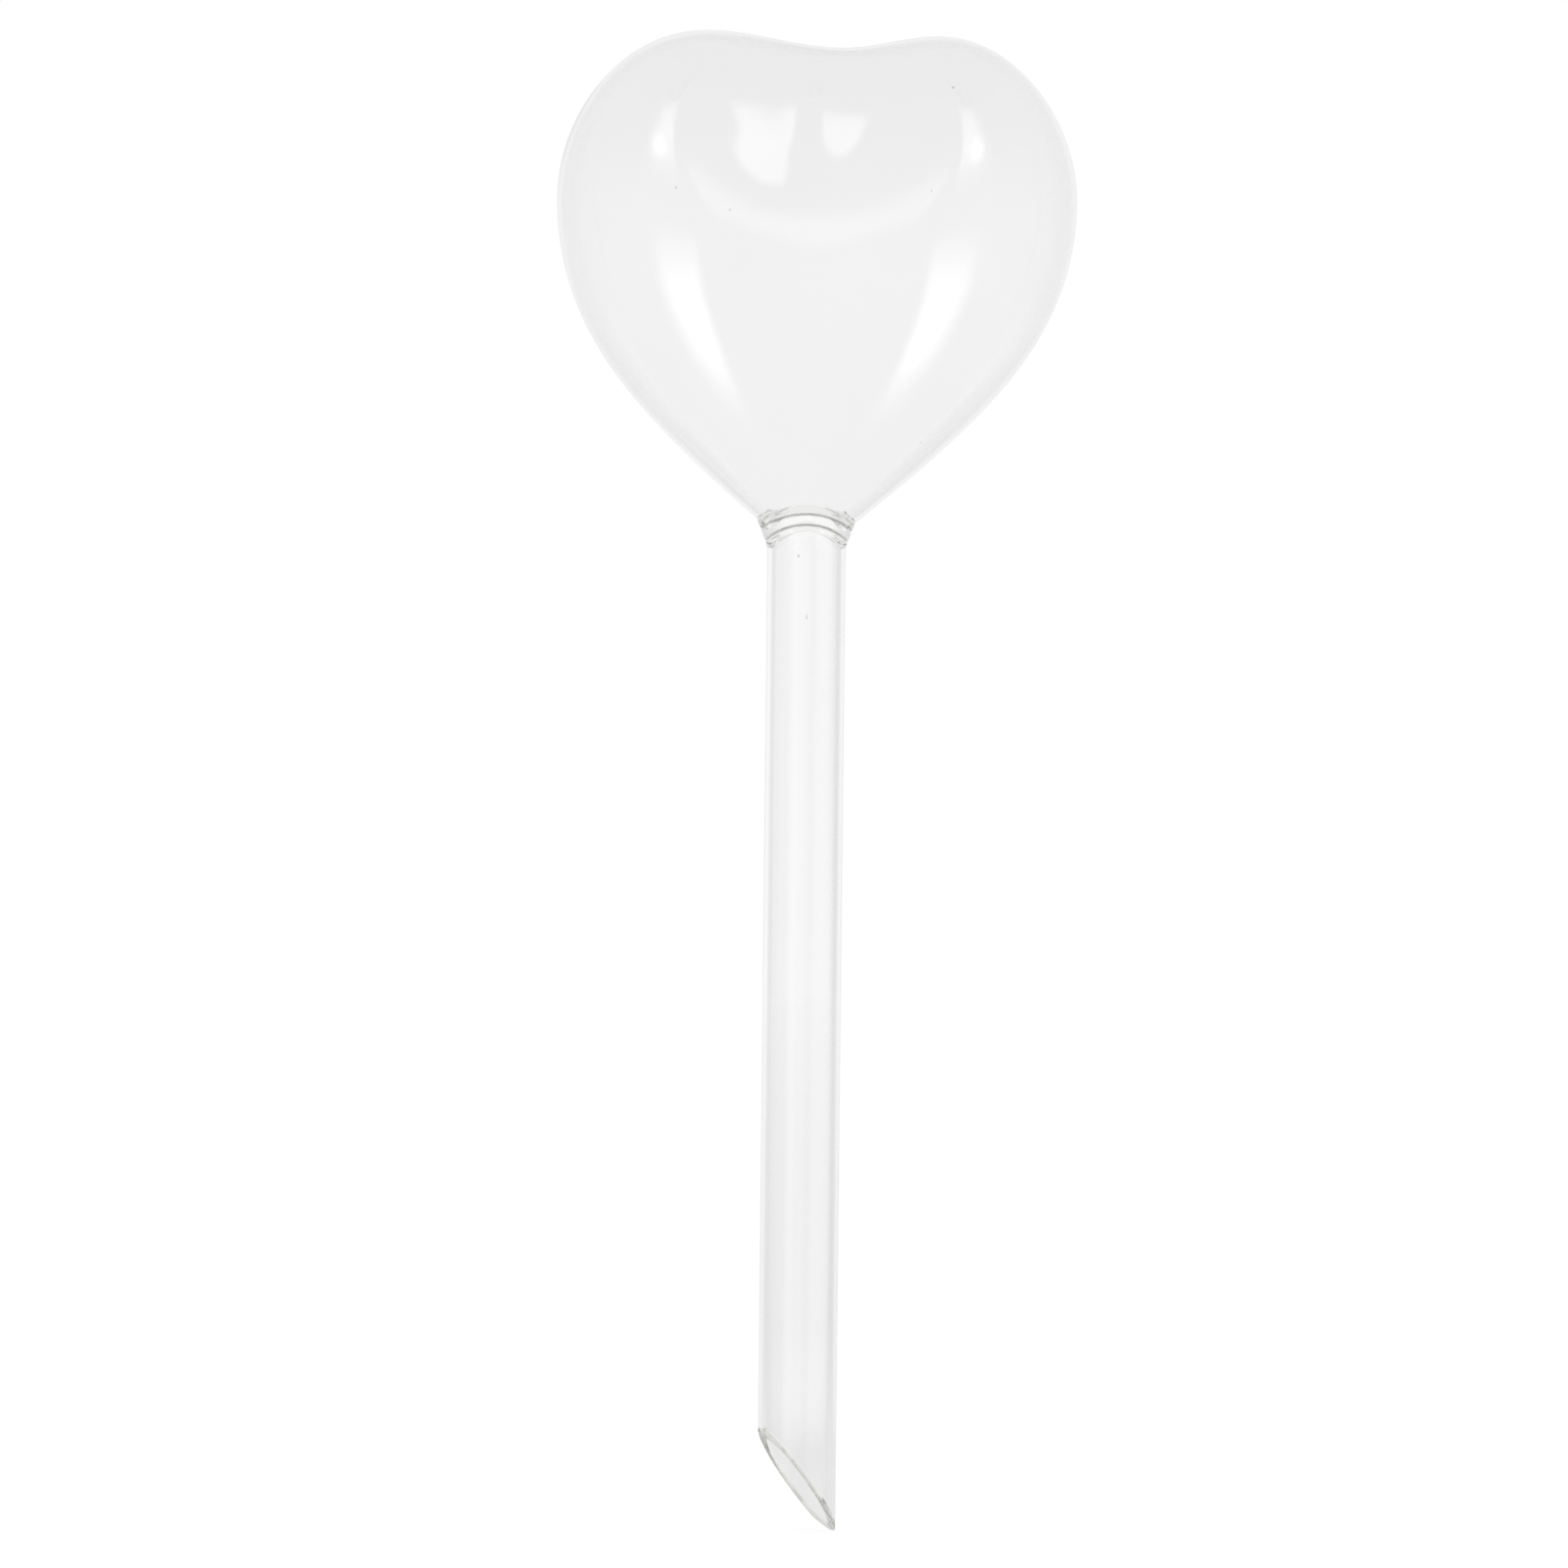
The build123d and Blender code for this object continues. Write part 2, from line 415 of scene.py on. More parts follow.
def drawn_borosilicate(finish):
    """Drawn tube: clear glass with soft straight lines along its length from the drawing."""
    material, tree, place = new_material("drawn_borosilicate_tube")
    # The lines are 4 mm across and 600 mm long.
    along = add_node(tree, "VectorMath", {0: place, 1: (1.0, 1.0, 4 / 600)}, operation="MULTIPLY")
    lines = clouds(tree, along.outputs[0], 4, 0.0)
    bands = remap(tree, lines, (0.4, 0.55), (0.0, 1.0), smooth=True)
    shade = mix_tints(tree, bands, finish.tube, finish.streak)
    smudge = remap(tree, lines, (0.4, 0.8), (0.0, 0.03))
    glass_surface(tree, shade, smudge, lines, 0.5, 0.004)
    return material


def polished_cut(finish):
    """Flame-polished cut: painted shade, grey-olive and a bit cloudy, where light comes out after running
    along the wall.
    """
    material, tree, place = new_material("flame_polished_painted_shade")
    cloud = clouds(tree, place, 1.5, 2.0)
    # Painted shade: the cut's dark tint, broken by lighter clouds.
    shade = mix_tints(tree, cloud, finish.edge, finish.rim)
    smudge = remap(tree, cloud, (0.4, 0.8), (0.0, 0.04))
    glass_surface(tree, shade, smudge, cloud, 0.5, 0.02)
    return material


def fused_borosilicate(finish):
    """Flame weld: glass that ran together and froze, a little ropy, with a dark line of painted shade along
    each seam, darkest at the front.
    """
    material, tree, place = new_material("flame_fused_borosilicate")
    ropes = clouds(tree, place, 3, 2.0, 0.6)
    body = mix_tints(tree, ropes, finish.clear, finish.fused)
    # Painted shade: the seam attribute darkens the tint along the two seams.
    line = add_node(tree, "Attribute", attribute_name="seam").outputs["Fac"]
    shade = mix_tints(tree, line, body, finish.seam)
    smudge = remap(tree, ropes, (0.4, 0.8), (0.0, 0.04))
    glass_surface(tree, shade, smudge, ropes, 0.6, 0.05)
    return material


def finish_piece(name, shape, materials, node, rounding):
    """Turn a bmesh into a smooth glass piece that rides on the globe's only body."""
    shape.normal_update()
    crisp = shape.edges.layers.float.get("crease_edge") or shape.edges.layers.float.new("crease_edge")
    for face in shape.faces:
        face.smooth = True
    for edge in shape.edges:
        if edge.calc_face_angle(0.0) > CRISP_ANGLE:
            edge.smooth = False
            edge[crisp] = 1.0
    mesh = bpy.data.meshes.new(name)
    shape.to_mesh(mesh)
    shape.free()
    for material in materials:
        mesh.materials.append(material)
    piece = bpy.data.objects.new(name, mesh)
    bpy.context.scene.collection.objects.link(piece)
    if rounding:
        smoothing = piece.modifiers.new("Smoothing", "SUBSURF")
        smoothing.levels = rounding
        smoothing.render_levels = rounding
    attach(piece, "root")
    if node:
        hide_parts(node)


def ease(share):
    """Smooth step from 0 to 1."""
    share = min(max(share, 0.0), 1.0)
    return share**2 * (3 - 2 * share)


def drawn_share(bulb, station):
    """How strongly the glass is drawn towards the neck, rounded over the keel."""
    off = abs(station)
    if off < bulb.keel:
        off = (off**2 / bulb.keel + bulb.keel) / 2
    return (1 - off) ** 2


def slice_sizes(bulb, station, inset):
    """Sizes of the upright slice at a station from -1 at the left end of the heart to 1 at its right end."""
    reach = (bulb.reach_left if station < 0 else bulb.reach_right) - inset
    x = station * reach
    span = sqrt(max(1 - station**2, 0.0))
    drawn = drawn_share(bulb, station)
    spread = bulb.cleft_left if x < bulb.cleft_offset else bulb.cleft_right
    pressed = exp(-(((x - bulb.cleft_offset) / spread) ** 2))
    rise = span * (bulb.crown_rise - bulb.cleft_press * pressed - inset)
    drop = span * (bulb.belly_drop + bulb.neck_draw * drawn - inset)
    half = span * (bulb.depth / 2 + bulb.lobe_round * station**2 - inset)
    crease = 4 * bulb.crease * pressed * span
    pinch = bulb.heel_pinch * drawn * span
    return x, span, rise, drop, half, crease, pinch


def pressed_in(bulb, x, z):
    """How far front and back are pressed in below the cleft: a dent with a fold along its middle."""
    off = x - bulb.dent_right
    aslant = sqrt(off**2 + bulb.dent_point**2) - bulb.dent_point
    lip = bulb.dent_low + bulb.dent_rise * aslant / bulb.dent_half
    dent = bulb.dent * ease((z - lip) / bulb.dent_run) * exp(-((off / bulb.dent_half) ** 4))
    aside = x + bulb.fold_left
    half = bulb.fold_steep if aside < 0 else bulb.fold_wide
    fold = bulb.fold * ease((z - bulb.fold_low) / bulb.fold_run) * exp(-((aside / half) ** 2))
    return dent + fold


def wall_at(bulb, aim):
    """Thickness of the wall along an aim: thinner in the lobes than at the neck."""
    thicker = ease((-aim.z - THICK_FROM) / (1 - THICK_FROM))
    return bulb.wall_blown + (bulb.wall - bulb.wall_blown) * thicker


def skin_point(bulb, aim, inset):
    """Where the heart's skin lies along a unit aim from its middle, drawn in by an inset."""
    station = min(max(aim.x, -1.0), 1.0)
    x, span, rise, drop, half, crease, pinch = slice_sizes(bulb, station, inset)
    out = aim.y / span if span else 0.0
    up = aim.z / span if span else 0.0
    hollow = crease * abs(out) * up**2 if up > 0 else pinch * up**2
    z = bulb.middle + up * ((rise + drop) / 2 + up * (rise - drop) / 2)
    return Vector((x, out * (half - hollow - pressed_in(bulb, x, z)), z))


def heel_aim(bulb, x, y, inset):
    """The aim at which the underside of the heart has this x and y."""
    station = x / ((bulb.reach_left if x < 0 else bulb.reach_right) - inset)
    _, span, _, _, half, _, pinch = slice_sizes(bulb, station, inset)
    out = 0.0
    for _ in range(AIM_ROUNDS):
        out = y / (half - pinch * (1 - out**2))
    return Vector((station, out * span, -sqrt(1 - out**2) * span))


def heel_height(bulb, x, y):
    """Height of the underside of the heart."""
    return skin_point(bulb, heel_aim(bulb, x, y, 0.0), 0.0).z


def front_aim(bulb, x, z, inset):
    """The aim at which the front of the heart has this x and z."""
    station = x / ((bulb.reach_left if x < 0 else bulb.reach_right) - inset)
    _, span, rise, drop, _, _, _ = slice_sizes(bulb, station, inset)
    bend = (rise - drop) / 2
    mean = (rise + drop) / 2
    up = (sqrt(mean**2 + 4 * bend * (z - bulb.middle)) - mean) / (2 * bend)
    return Vector((station, -sqrt(1 - up**2) * span, up * span))


def grid_aim(spot, edge, foot, lip_aim, foot_aim):
    """Unit aim of a spot on a cube from -1 to 1, whose bottom is opened round throat and weld."""
    even = Vector([tan(part * pi / 4) for part in spot])
    if spot.z > CUBE_BOTTOM:
        return even.normalized()
    wide = max(abs(spot.x), abs(spot.y))
    if abs(spot.x) >= abs(spot.y):
        around = pi / 4 * spot.y / spot.x + (pi if spot.x < 0 else 0.0)
    else:
        around = pi / 2 - pi / 4 * spot.x / spot.y + (pi if spot.y < 0 else 0.0)
    outer = foot_aim(around)
    if wide <= foot + CUBE_SLACK:
        lip = lip_aim(around)
        return lip.lerp(outer, max((wide - edge) / (foot - edge), 0.0)).normalized()
    far = (wide - foot) / (1 - foot)
    round_spot = Vector((cos(around), sin(around), 0.0))
    foot_spot = Vector((outer.x / -outer.z, outer.y / -outer.z, 0.0))
    ring = round_spot * far + foot_spot * (1 - far)
    flat = ring.lerp(Vector((even.x, even.y, 0.0)), far**2)
    return Vector((flat.x, flat.y, -1.0)).normalized()


def ripple(bulb, place, seed):
    """Share from 0 to 1 of the unevenness of a hand-blown wall at a place."""
    return 0.5 + 0.5 * noise.noise(place / bulb.ripple_span + Vector((seed, 0.0, 0.0)))


def calm(aim):
    """How much of the unevenness is left along an aim: none where the heart is fused to the weld."""
    return 1 - ease((-aim.z - CALM_FROM) / (CALM_TO - CALM_FROM))


class GLOBE_OT_blow_heart_bulb(bpy.types.Operator):
    """Blow the heart-shaped bulb, with an outer and an inner skin that meet at the throat"""

    bl_idname = "globe.blow_heart_bulb"
    bl_label = "Blow heart bulb"

    def execute(self, context):
        bulb = context.scene.heart_bulb
        neck = context.scene.neck
        stem = context.scene.stem_tube
        shape = bmesh.new()
        bmesh.ops.create_cube(shape, size=2.0)
        bmesh.ops.subdivide_edges(shape, edges=shape.edges[:], cuts=bulb.rows - 1, use_grid_fill=True)
        edge = THROAT_QUADS / bulb.rows
        foot = FOOT_QUADS / bulb.rows
        hole = []
        for face in shape.faces:
            middle = face.calc_center_median()
            wide = max(abs(middle.x), abs(middle.y))
            if middle.z < CUBE_BOTTOM and wide < edge:
                hole.append(face)
            elif middle.z < CUBE_BOTTOM and wide < foot:
                face.material_index = FUSED_FACE
        bmesh.ops.delete(shape, geom=hole, context="FACES")
        copied = bmesh.ops.duplicate(shape, geom=shape.verts[:] + shape.edges[:] + shape.faces[:])
        inner = {part for part in copied["geom"] if isinstance(part, bmesh.types.BMVert)}
        inner_faces = [part for part in copied["geom"] if isinstance(part, bmesh.types.BMFace)]
        for face in inner_faces:
            face.material_index = OPEN_SKIN
        bmesh.ops.reverse_faces(shape, faces=inner_faces)

        def foot_aim(angle):
            """Aim at the outer edge of the weld's foot."""
            wide, deep = flare_radii(neck, stem, heel_edge(neck, stem, bulb, angle))
            return heel_aim(bulb, wide * cos(angle), deep * sin(angle), 0.0)

        def lip_aim(inset):
            """Aims at the edge of the throat in one skin."""
            radius = throat_radius(neck, stem, heel_height(bulb, stem.bore, 0.0) + inset)
            return lambda angle: heel_aim(bulb, radius * cos(angle), radius * sin(angle), inset)

        outer_lip = lip_aim(0.0)
        inner_lip = lip_aim(bulb.wall)
        for vert in shape.verts:
            if vert in inner:
                aim = grid_aim(vert.co, edge, foot, inner_lip, foot_aim)
                place = skin_point(bulb, aim, wall_at(bulb, aim))
                vert.co = place - aim * bulb.ripple * calm(aim) * 2 * (ripple(bulb, place, INNER_SEED) - 0.5)
            else:
                aim = grid_aim(vert.co, edge, foot, outer_lip, foot_aim)
                place = skin_point(bulb, aim, 0.0)
                vert.co = place - aim * bulb.ripple * calm(aim) * ripple(bulb, place, OUTER_SEED)
        bmesh.ops.bridge_loops(shape, edges=[part for part in shape.edges if part.is_boundary])
        bmesh.ops.recalc_face_normals(shape, faces=shape.faces[:])
        finish_piece("blown_heart", shape, [blown_borosilicate(context.scene.glass_finish), fused_inside()],
                     "heart_bulb", 1)
        return {"FINISHED"}


def seam_height(neck, stem, x):
    """Height of the arched seam between stem and weld."""
    if abs(x) >= stem.radius:
        return neck.seam_foot
    rise = neck.seam_arch - neck.seam_foot
    bow = (stem.radius**2 + rise**2) / (2 * rise)
    return neck.seam_arch - bow + sqrt(bow**2 - x**2)


def flare_radii(neck, stem, z):
    """Half width and half depth of the neck's outside at a height."""
    share = (max(z, 0.0) / neck.flare_rise) ** neck.flare_bend
    return (stem.radius + (neck.flare_width / 2 - stem.radius) * share,
            stem.radius + (neck.flare_depth / 2 - stem.radius) * share)


def throat_radius(neck, stem, z):
    """Radius of the way through the neck at a height: the bore, narrowed by the bead of fused glass."""
    if z < neck.bore_top:
        return stem.bore
    share = min((z - neck.bore_top) / (neck.flare_rise - neck.bore_top), 1.0)
    return stem.bore - neck.bead * sin(pi * share) ** 2


def seam_edge(neck, stem, angle, outside=True):
    """Height of the seam on the neck's outside or inside."""
    z = neck.seam_foot
    for _ in range(SEAM_ROUNDS):
        radius = flare_radii(neck, stem, z)[0] if outside else throat_radius(neck, stem, z)
        z = seam_height(neck, stem, radius * cos(angle))
    return z


def heel_edge(neck, stem, bulb, angle):
    """Height at which the neck's flare runs out on the underside of the heart."""
    low = seam_edge(neck, stem, angle)
    high = neck.flare_rise
    for _ in range(HEEL_ROUNDS):
        z = (low + high) / 2
        wide, deep = flare_radii(neck, stem, z)
        if heel_height(bulb, wide * cos(angle), deep * sin(angle)) > z:
            low = z
        else:
            high = z
    return low


def spin_ring(shape, outline, steps):
    """Spin a closed outline of radius and height pairs into a ring round the stem's axis."""
    corners = [shape.verts.new((radius, 0.0, height)) for radius, height in outline]
    edges = [shape.edges.new(pair) for pair in zip(corners, corners[1:] + corners[:1])]
    bmesh.ops.spin(shape, geom=corners + edges, cent=(0, 0, 0), axis=(0, 0, 1), angle=2 * pi, steps=steps,
                   use_merge=True)
    bmesh.ops.recalc_face_normals(shape, faces=shape.faces[:])


class GLOBE_OT_draw_stem_tube(bpy.types.Operator):
    """Draw the stem: a tube with an arched top, a slanted open tip and flame-polished edges"""

    bl_idname = "globe.draw_stem_tube"
    bl_label = "Draw stem tube"

    def execute(self, context):
        stem = context.scene.stem_tube
        neck = context.scene.neck
        shape = bmesh.new()
        outside = [(2.0, share) for share in STEM_STATIONS]
        inside = [(1.0, share) for share in reversed(STEM_STATIONS)]
        spin_ring(shape, outside + inside, stem.steps)
        for face in shape.faces:
            height = face.calc_center_median().z
            if height > 1 - RING_END:
                face.material_index = FUSED_FACE
            elif height < RING_END:
                face.material_index = CUT_FACE
        slope = 1 / tan(stem.slant)
        cut_middle = stem.radius * slope - stem.reach

        def cut_height(x, y):
            """Height of the slanted cut."""
            return cut_middle - slope * (x * cos(stem.turn) + y * sin(stem.turn))

        for vert in shape.verts:
            vert.co = self.tube_place(stem, neck, vert.co, cut_height)
        shape.normal_update()
        cut_top = cut_middle + 2 * stem.radius * slope
        rims = [part for part in shape.edges if part.calc_face_angle(0.0) > RIM_ANGLE
                and sum(vert.co.z for vert in part.verts) / 2 < cut_top]
        bmesh.ops.bevel(shape, geom=rims, offset=stem.polish, affect="EDGES", segments=4, profile=0.5,
                        material=-1)
        for face in shape.faces:
            middle = face.calc_center_median()
            # Painted shade: the cut's faces take the dark tint, and on the front near the point a little
            # more.
            shaded_front = middle.y < 0 and middle.z < TIP_HEIGHT + stem.shade_rise
            dark = stem.polish + shaded_front * stem.shade_reach
            if (middle.z - cut_height(middle.x, middle.y)) * sin(stem.slant) < dark:
                face.material_index = CUT_FACE
        # The flame also shortens the point.
        top = TIP_HEIGHT + stem.flame
        squash = stem.flame / (top - min(vert.co.z for vert in shape.verts))
        for vert in shape.verts:
            if vert.co.z < top:
                vert.co.z = top - (top - vert.co.z) * squash
        finish = context.scene.glass_finish
        finish_piece("drawn_stem", shape, [drawn_borosilicate(finish), fused_inside(), polished_cut(finish)],
                     "stem_tube", 0)
        return {"FINISHED"}

    def tube_place(self, stem, neck, spot, cut_height):
        """Place on the tube of a spot on a ring of radius 1 to 2 and unit height."""
        angle = atan2(spot.y, spot.x)
        outside = spot.xy.length > 1.5
        share = spot.z
        radius = stem.radius if outside else stem.bore
        low = cut_height(radius * cos(angle), radius * sin(angle))
        high = seam_edge(neck, stem, angle, outside)
        z = low + share * (high - neck.gap / 2 - low)
        if outside:
            wide, deep = flare_radii(neck, stem, z)
        else:
            wide = deep = throat_radius(neck, stem, z)
        x = wide * cos(angle)
        y = deep * sin(angle)
        uneven = noise.noise(Vector((x, y, z / stem.wander_stretch)) / stem.wander_span)
        drift = stem.wander * (0.5 + 0.5 * uneven) * (1 - share)
        return Vector((x, y, z)) - Vector((x, y, 0.0)).normalized() * drift


class GLOBE_OT_fuse_neck_weld(bpy.types.Operator):
    """Fuse the ring of glass that joins the stem to the heart"""

    bl_idname = "globe.fuse_neck_weld"
    bl_label = "Fuse neck weld"

    def execute(self, context):
        stem = context.scene.stem_tube
        neck = context.scene.neck
        bulb = context.scene.heart_bulb
        shape = bmesh.new()
        up_steps = [neck.seam_low / 2, (neck.seam_low + neck.seam_high) / 2, (neck.seam_high + 1) / 2]
        for place in (neck.seam_low, neck.seam_high):
            up_steps += [place - neck.seam_half, place, place + neck.seam_half]
        outline = ([(1 + share, 0.0) for share in WELD_ACROSS] + [(2.0, share) for share in sorted(up_steps)]
                   + [(1 + share, 1.0) for share in reversed(WELD_ACROSS)]
                   + [(1.0, share) for share in WELD_INSIDE])
        spin_ring(shape, outline, stem.steps)
        for face in shape.faces:
            if not RING_END < face.calc_center_median().z < 1 - RING_END:
                face.material_index = FUSED_FACE
        seam = shape.verts.layers.float.new("seam")
        for vert in shape.verts:
            angle = atan2(vert.co.y, vert.co.x)
            across = vert.co.xy.length - 1
            up = vert.co.z
            low = seam_edge(neck, stem, angle)
            high = heel_edge(neck, stem, bulb, angle)
            ends = []
            for z in (low, high):
                wide, deep = flare_radii(neck, stem, z)
                inner = throat_radius(neck, stem, z)
                ends.append(Vector(((inner + (wide - inner) * across) * cos(angle),
                                    (inner + (deep - inner) * across) * sin(angle), 0.0)))
            floor, roof = ends
            floor.z = seam_height(neck, stem, floor.x) + neck.gap / 2
            roof.z = max(heel_height(bulb, roof.x, roof.y) - neck.gap, floor.z + 2 * neck.gap)
            place = floor.lerp(roof, up)
            push = 0.0
            if across > 1 - RING_END:
                off = min(abs(up - neck.seam_low), abs(up - neck.seam_high))
                line = max(1 - off / neck.seam_half, 0.0)
                # Painted shade: the seams are painted darkest at the front and fade towards the back.
                front = (1 - sin(angle)) / 2
                vert[seam] = line * (neck.seam_shade_back + (1 - neck.seam_shade_back) * front)
                push = -neck.groove * line
            elif across < RING_END:
                push = throat_radius(neck, stem, place.z) - place.xy.length
            vert.co = place + Vector((cos(angle), sin(angle), 0.0)) * push
        bmesh.ops.recalc_face_normals(shape, faces=shape.faces[:])
        finish_piece("fused_neck", shape, [fused_borosilicate(context.scene.glass_finish), fused_inside()],
                     "neck_weld", 1)
        return {"FINISHED"}


class GLOBE_OT_trap_seeds(bpy.types.Operator):
    """Trap the few small bubbles in the wall of the heart and of the stem"""

    bl_idname = "globe.trap_seeds"
    bl_label = "Trap seeds"

    def execute(self, context):
        bulb = context.scene.heart_bulb
        stem = context.scene.stem_tube
        shape = bmesh.new()
        for x, z, wide, tall in HEART_SEEDS:
            aim = front_aim(bulb, x * MM, z * MM, bulb.wall_blown / 2)
            self.blow(shape, skin_point(bulb, aim, wall_at(bulb, aim) / 2), wide, tall)
        for x, z, wide, tall in STEM_SEEDS:
            middle = (stem.radius + stem.bore) / 2
            self.blow(shape, Vector((x * MM, -sqrt(middle**2 - (x * MM) ** 2), z * MM)), wide, tall)
        finish_piece("glass_seeds", shape, [trapped_air(context.scene.glass_finish)], None, 0)
        return {"FINISHED"}

    def blow(self, shape, place, wide, tall):
        """Add one seed at a place, with its width and length in millimetres."""
        size = Matrix.Diagonal((wide * MM, wide * MM, tall * MM, 1.0))
        bmesh.ops.create_icosphere(shape, subdivisions=3, radius=0.5, matrix=Matrix.Translation(place) @ size)


class GLOBE_OT_set_studio(bpy.types.Operator):
    """Set the white studio: floor, room, two softboxes, the front fill and the camera"""

    bl_idname = "globe.set_studio"
    bl_label = "Set studio"

    def execute(self, context):
        studio = context.scene.studio
        self.lay_floor(studio)
        self.light_room(context.scene, studio)
        for side in (-1, 1):
            angles = (studio.lamp_turn * side, studio.lamp_lift, -studio.lamp_lean * side)
            self.hang_softbox(studio, side, angles)
            self.hang_sheet(studio, side, angles)
        self.hang_fill(studio)
        self.place_camera(context.scene, studio)
        context.scene.view_settings.view_transform = "Standard"
        # Light has to pass many walls and run along the tube's wall before it comes out.
        for kind in ("max_bounces", "transmission_bounces", "glossy_bounces", "transparent_max_bounces"):
            setattr(context.scene.cycles, kind, studio.bounces)
        return {"FINISHED"}

    def lay_floor(self, studio):
        """Lay a round sheet of white paper, level with the tip."""
        shape = bmesh.new()
        bmesh.ops.create_circle(shape, cap_ends=True, segments=FLOOR_SIDES, radius=studio.paper_reach,
                                matrix=Matrix.Translation((0.0, 0.0, TIP_HEIGHT)))
        mesh = bpy.data.meshes.new("paper_floor")
        shape.to_mesh(mesh)
        shape.free()
        floor = bpy.data.objects.new("paper_floor", mesh)
        bpy.context.scene.collection.objects.link(floor)
        mesh.materials.append(self.matt_paper(studio))

    def matt_paper(self, studio):
        """Matt white paper: fine fibres, and bright enough to read as an even white ground."""
        material, tree, place = new_material("matt_white_paper")
        fibre = clouds(tree, place, 0.8, 2.0)
        shade = mix_tints(tree, fibre, studio.paper, studio.paper_fibre)
        matt = add_node(tree, "BsdfDiffuse", {"Color": shade})
        rays = add_node(tree, "LightPath")
        camera = rays.outputs["Is Camera Ray"]
        transmission = rays.outputs["Is Transmission Ray"]
        aim = add_node(tree, "VectorMath", {0: place}, operation="NORMALIZE")
        through, gloss = self.room_tone(tree, aim.outputs[0], studio)
        # Through the glass the floor is white close by, dimmer further off and white again at its edge.
        far = add_node(tree, "VectorMath", {0: place}, operation="LENGTH").outputs["Value"]
        close = remap(tree, far, (studio.dim_start, studio.dim_end), (1.0, studio.paper_dim))
        beyond = remap(tree, far, (studio.dim_end, studio.paper_reach), (studio.paper_dim, studio.paper_far))
        dimmed = combine(tree, "MULTIPLY", through, combine(tree, "MAXIMUM", beyond, close))
        clear = mix_levels(tree, transmission, gloss, dimmed)
        bright = mix_levels(tree, camera, clear, 1.0)
        strength = combine(tree, "MULTIPLY", bright, studio.paper_glow)
        glow = add_node(tree, "Emission", {"Strength": strength})
        straight = combine(tree, "MAXIMUM", camera, transmission)
        seen = combine(tree, "MAXIMUM", straight, rays.outputs["Is Glossy Ray"])
        share = combine(tree, "MULTIPLY", seen, studio.paper_share)
        surface = add_node(tree, "MixShader", {0: share, 1: matt.outputs[0], 2: glow.outputs[0]})
        add_node(tree, "OutputMaterial", {"Surface": surface.outputs[0]})
        return material

    def room_tone(self, tree, aim, studio):
        """Brightness of the room along an aim, as it shows through the glass and in reflections."""
        aim = add_node(tree, "SeparateXYZ", {0: aim})
        back = aim.outputs["Y"]
        up = aim.outputs["Z"]
        # Through the glass the room is white, a little dimmer overhead and beside the backdrop.
        overhead = remap(tree, up, CEILING_AIMS, (1.0, studio.ceiling))
        beside = remap(tree, back, SIDE_AIMS, (studio.sides, 1.0), smooth=True)
        through = combine(tree, "MULTIPLY", overhead, beside)
        # Reflections show a darker room in front of the globe and the white backdrop behind it.
        height = remap(tree, up, GLOSS_AIMS, (studio.gloss_low, studio.gloss_high), smooth=True)
        gloss = remap(tree, back, BACKDROP_AIMS, (height, studio.gloss_back), smooth=True)
        return through, gloss

    def light_room(self, scene, studio):
        """Light the room: plain white to the camera, and toned in the glass."""
        world = bpy.data.worlds.new("white_studio_room")
        scene.world = world
        world.use_nodes = True
        tree = world.node_tree
        tree.nodes.clear()
        rays = add_node(tree, "LightPath")
        aim = add_node(tree, "TexCoord").outputs["Generated"]
        through, gloss = self.room_tone(tree, aim, studio)
        matt = mix_levels(tree, rays.outputs["Is Glossy Ray"], studio.room, gloss)
        clear = mix_levels(tree, rays.outputs["Is Transmission Ray"], matt, through)
        plain = mix_levels(tree, rays.outputs["Is Camera Ray"], clear, 1.0)
        light = add_node(tree, "Background", {"Color": (1.0, 1.0, 1.0, 1.0), "Strength": plain})
        add_node(tree, "OutputWorld", {"Surface": light.outputs[0]})

    def hang_lamp(self, studio, name, angles, size, strength, through):
        """Hang a lamp by its turn, lift and lean; it shows through the glass, or else in reflections."""
        turn, lift, lean = angles
        wide, tall = size
        lamp = bpy.data.lights.new(name, "AREA")
        lamp.shape = "RECTANGLE"
        lamp.size = wide
        lamp.size_y = tall
        lamp.energy = pi * wide * tall * strength
        lamp.use_nodes = True
        lamp.node_tree.nodes.clear()
        hung = bpy.data.objects.new(name, lamp)
        bpy.context.scene.collection.objects.link(hung)
        aim = Vector((sin(turn) * cos(lift), -cos(turn) * cos(lift), sin(lift)))
        far = studio.lamp_far + studio.sheet_behind * through
        hung.location = Vector((0.0, 0.0, studio.lamp_aim)) + aim * far
        facing = aim.to_track_quat("Z", "Y").to_matrix() @ Matrix.Rotation(lean, 3, "Z")
        hung.rotation_euler = facing.to_euler()
        hung.visible_camera = False
        hung.visible_transmission = through
        hung.visible_glossy = not through
        hung.visible_diffuse = not through
        return lamp.node_tree

    def cloth_shares(self, tree, side):
        """Spot on a lamp's cloth, its share across from the inner side, and its share up."""
        spot = add_node(tree, "NewGeometry").outputs["Parametric"]
        cloth = add_node(tree, "SeparateXYZ", {0: spot})
        across = remap(tree, cloth.outputs["X"], (0.0, 1.0), (0.0, 1.0) if side > 0 else (1.0, 0.0))
        return spot, across, cloth.outputs["Y"]

    def fade_cloth(self, tree, *fades):
        """Brightness of a cloth: each fade is a share with its edges."""
        strength = 1.0
        for share, edges in fades:
            for edge in edges:
                lit = remap(tree, share, edge, (0.0, 1.0), smooth=True)
                strength = combine(tree, "MULTIPLY", strength, lit)
        return strength

    def light_cloth(self, tree, strength):
        """Let a lamp's cloth glow."""
        glow = add_node(tree, "Emission", {"Strength": strength})
        add_node(tree, "OutputLight", {"Surface": glow.outputs[0]})

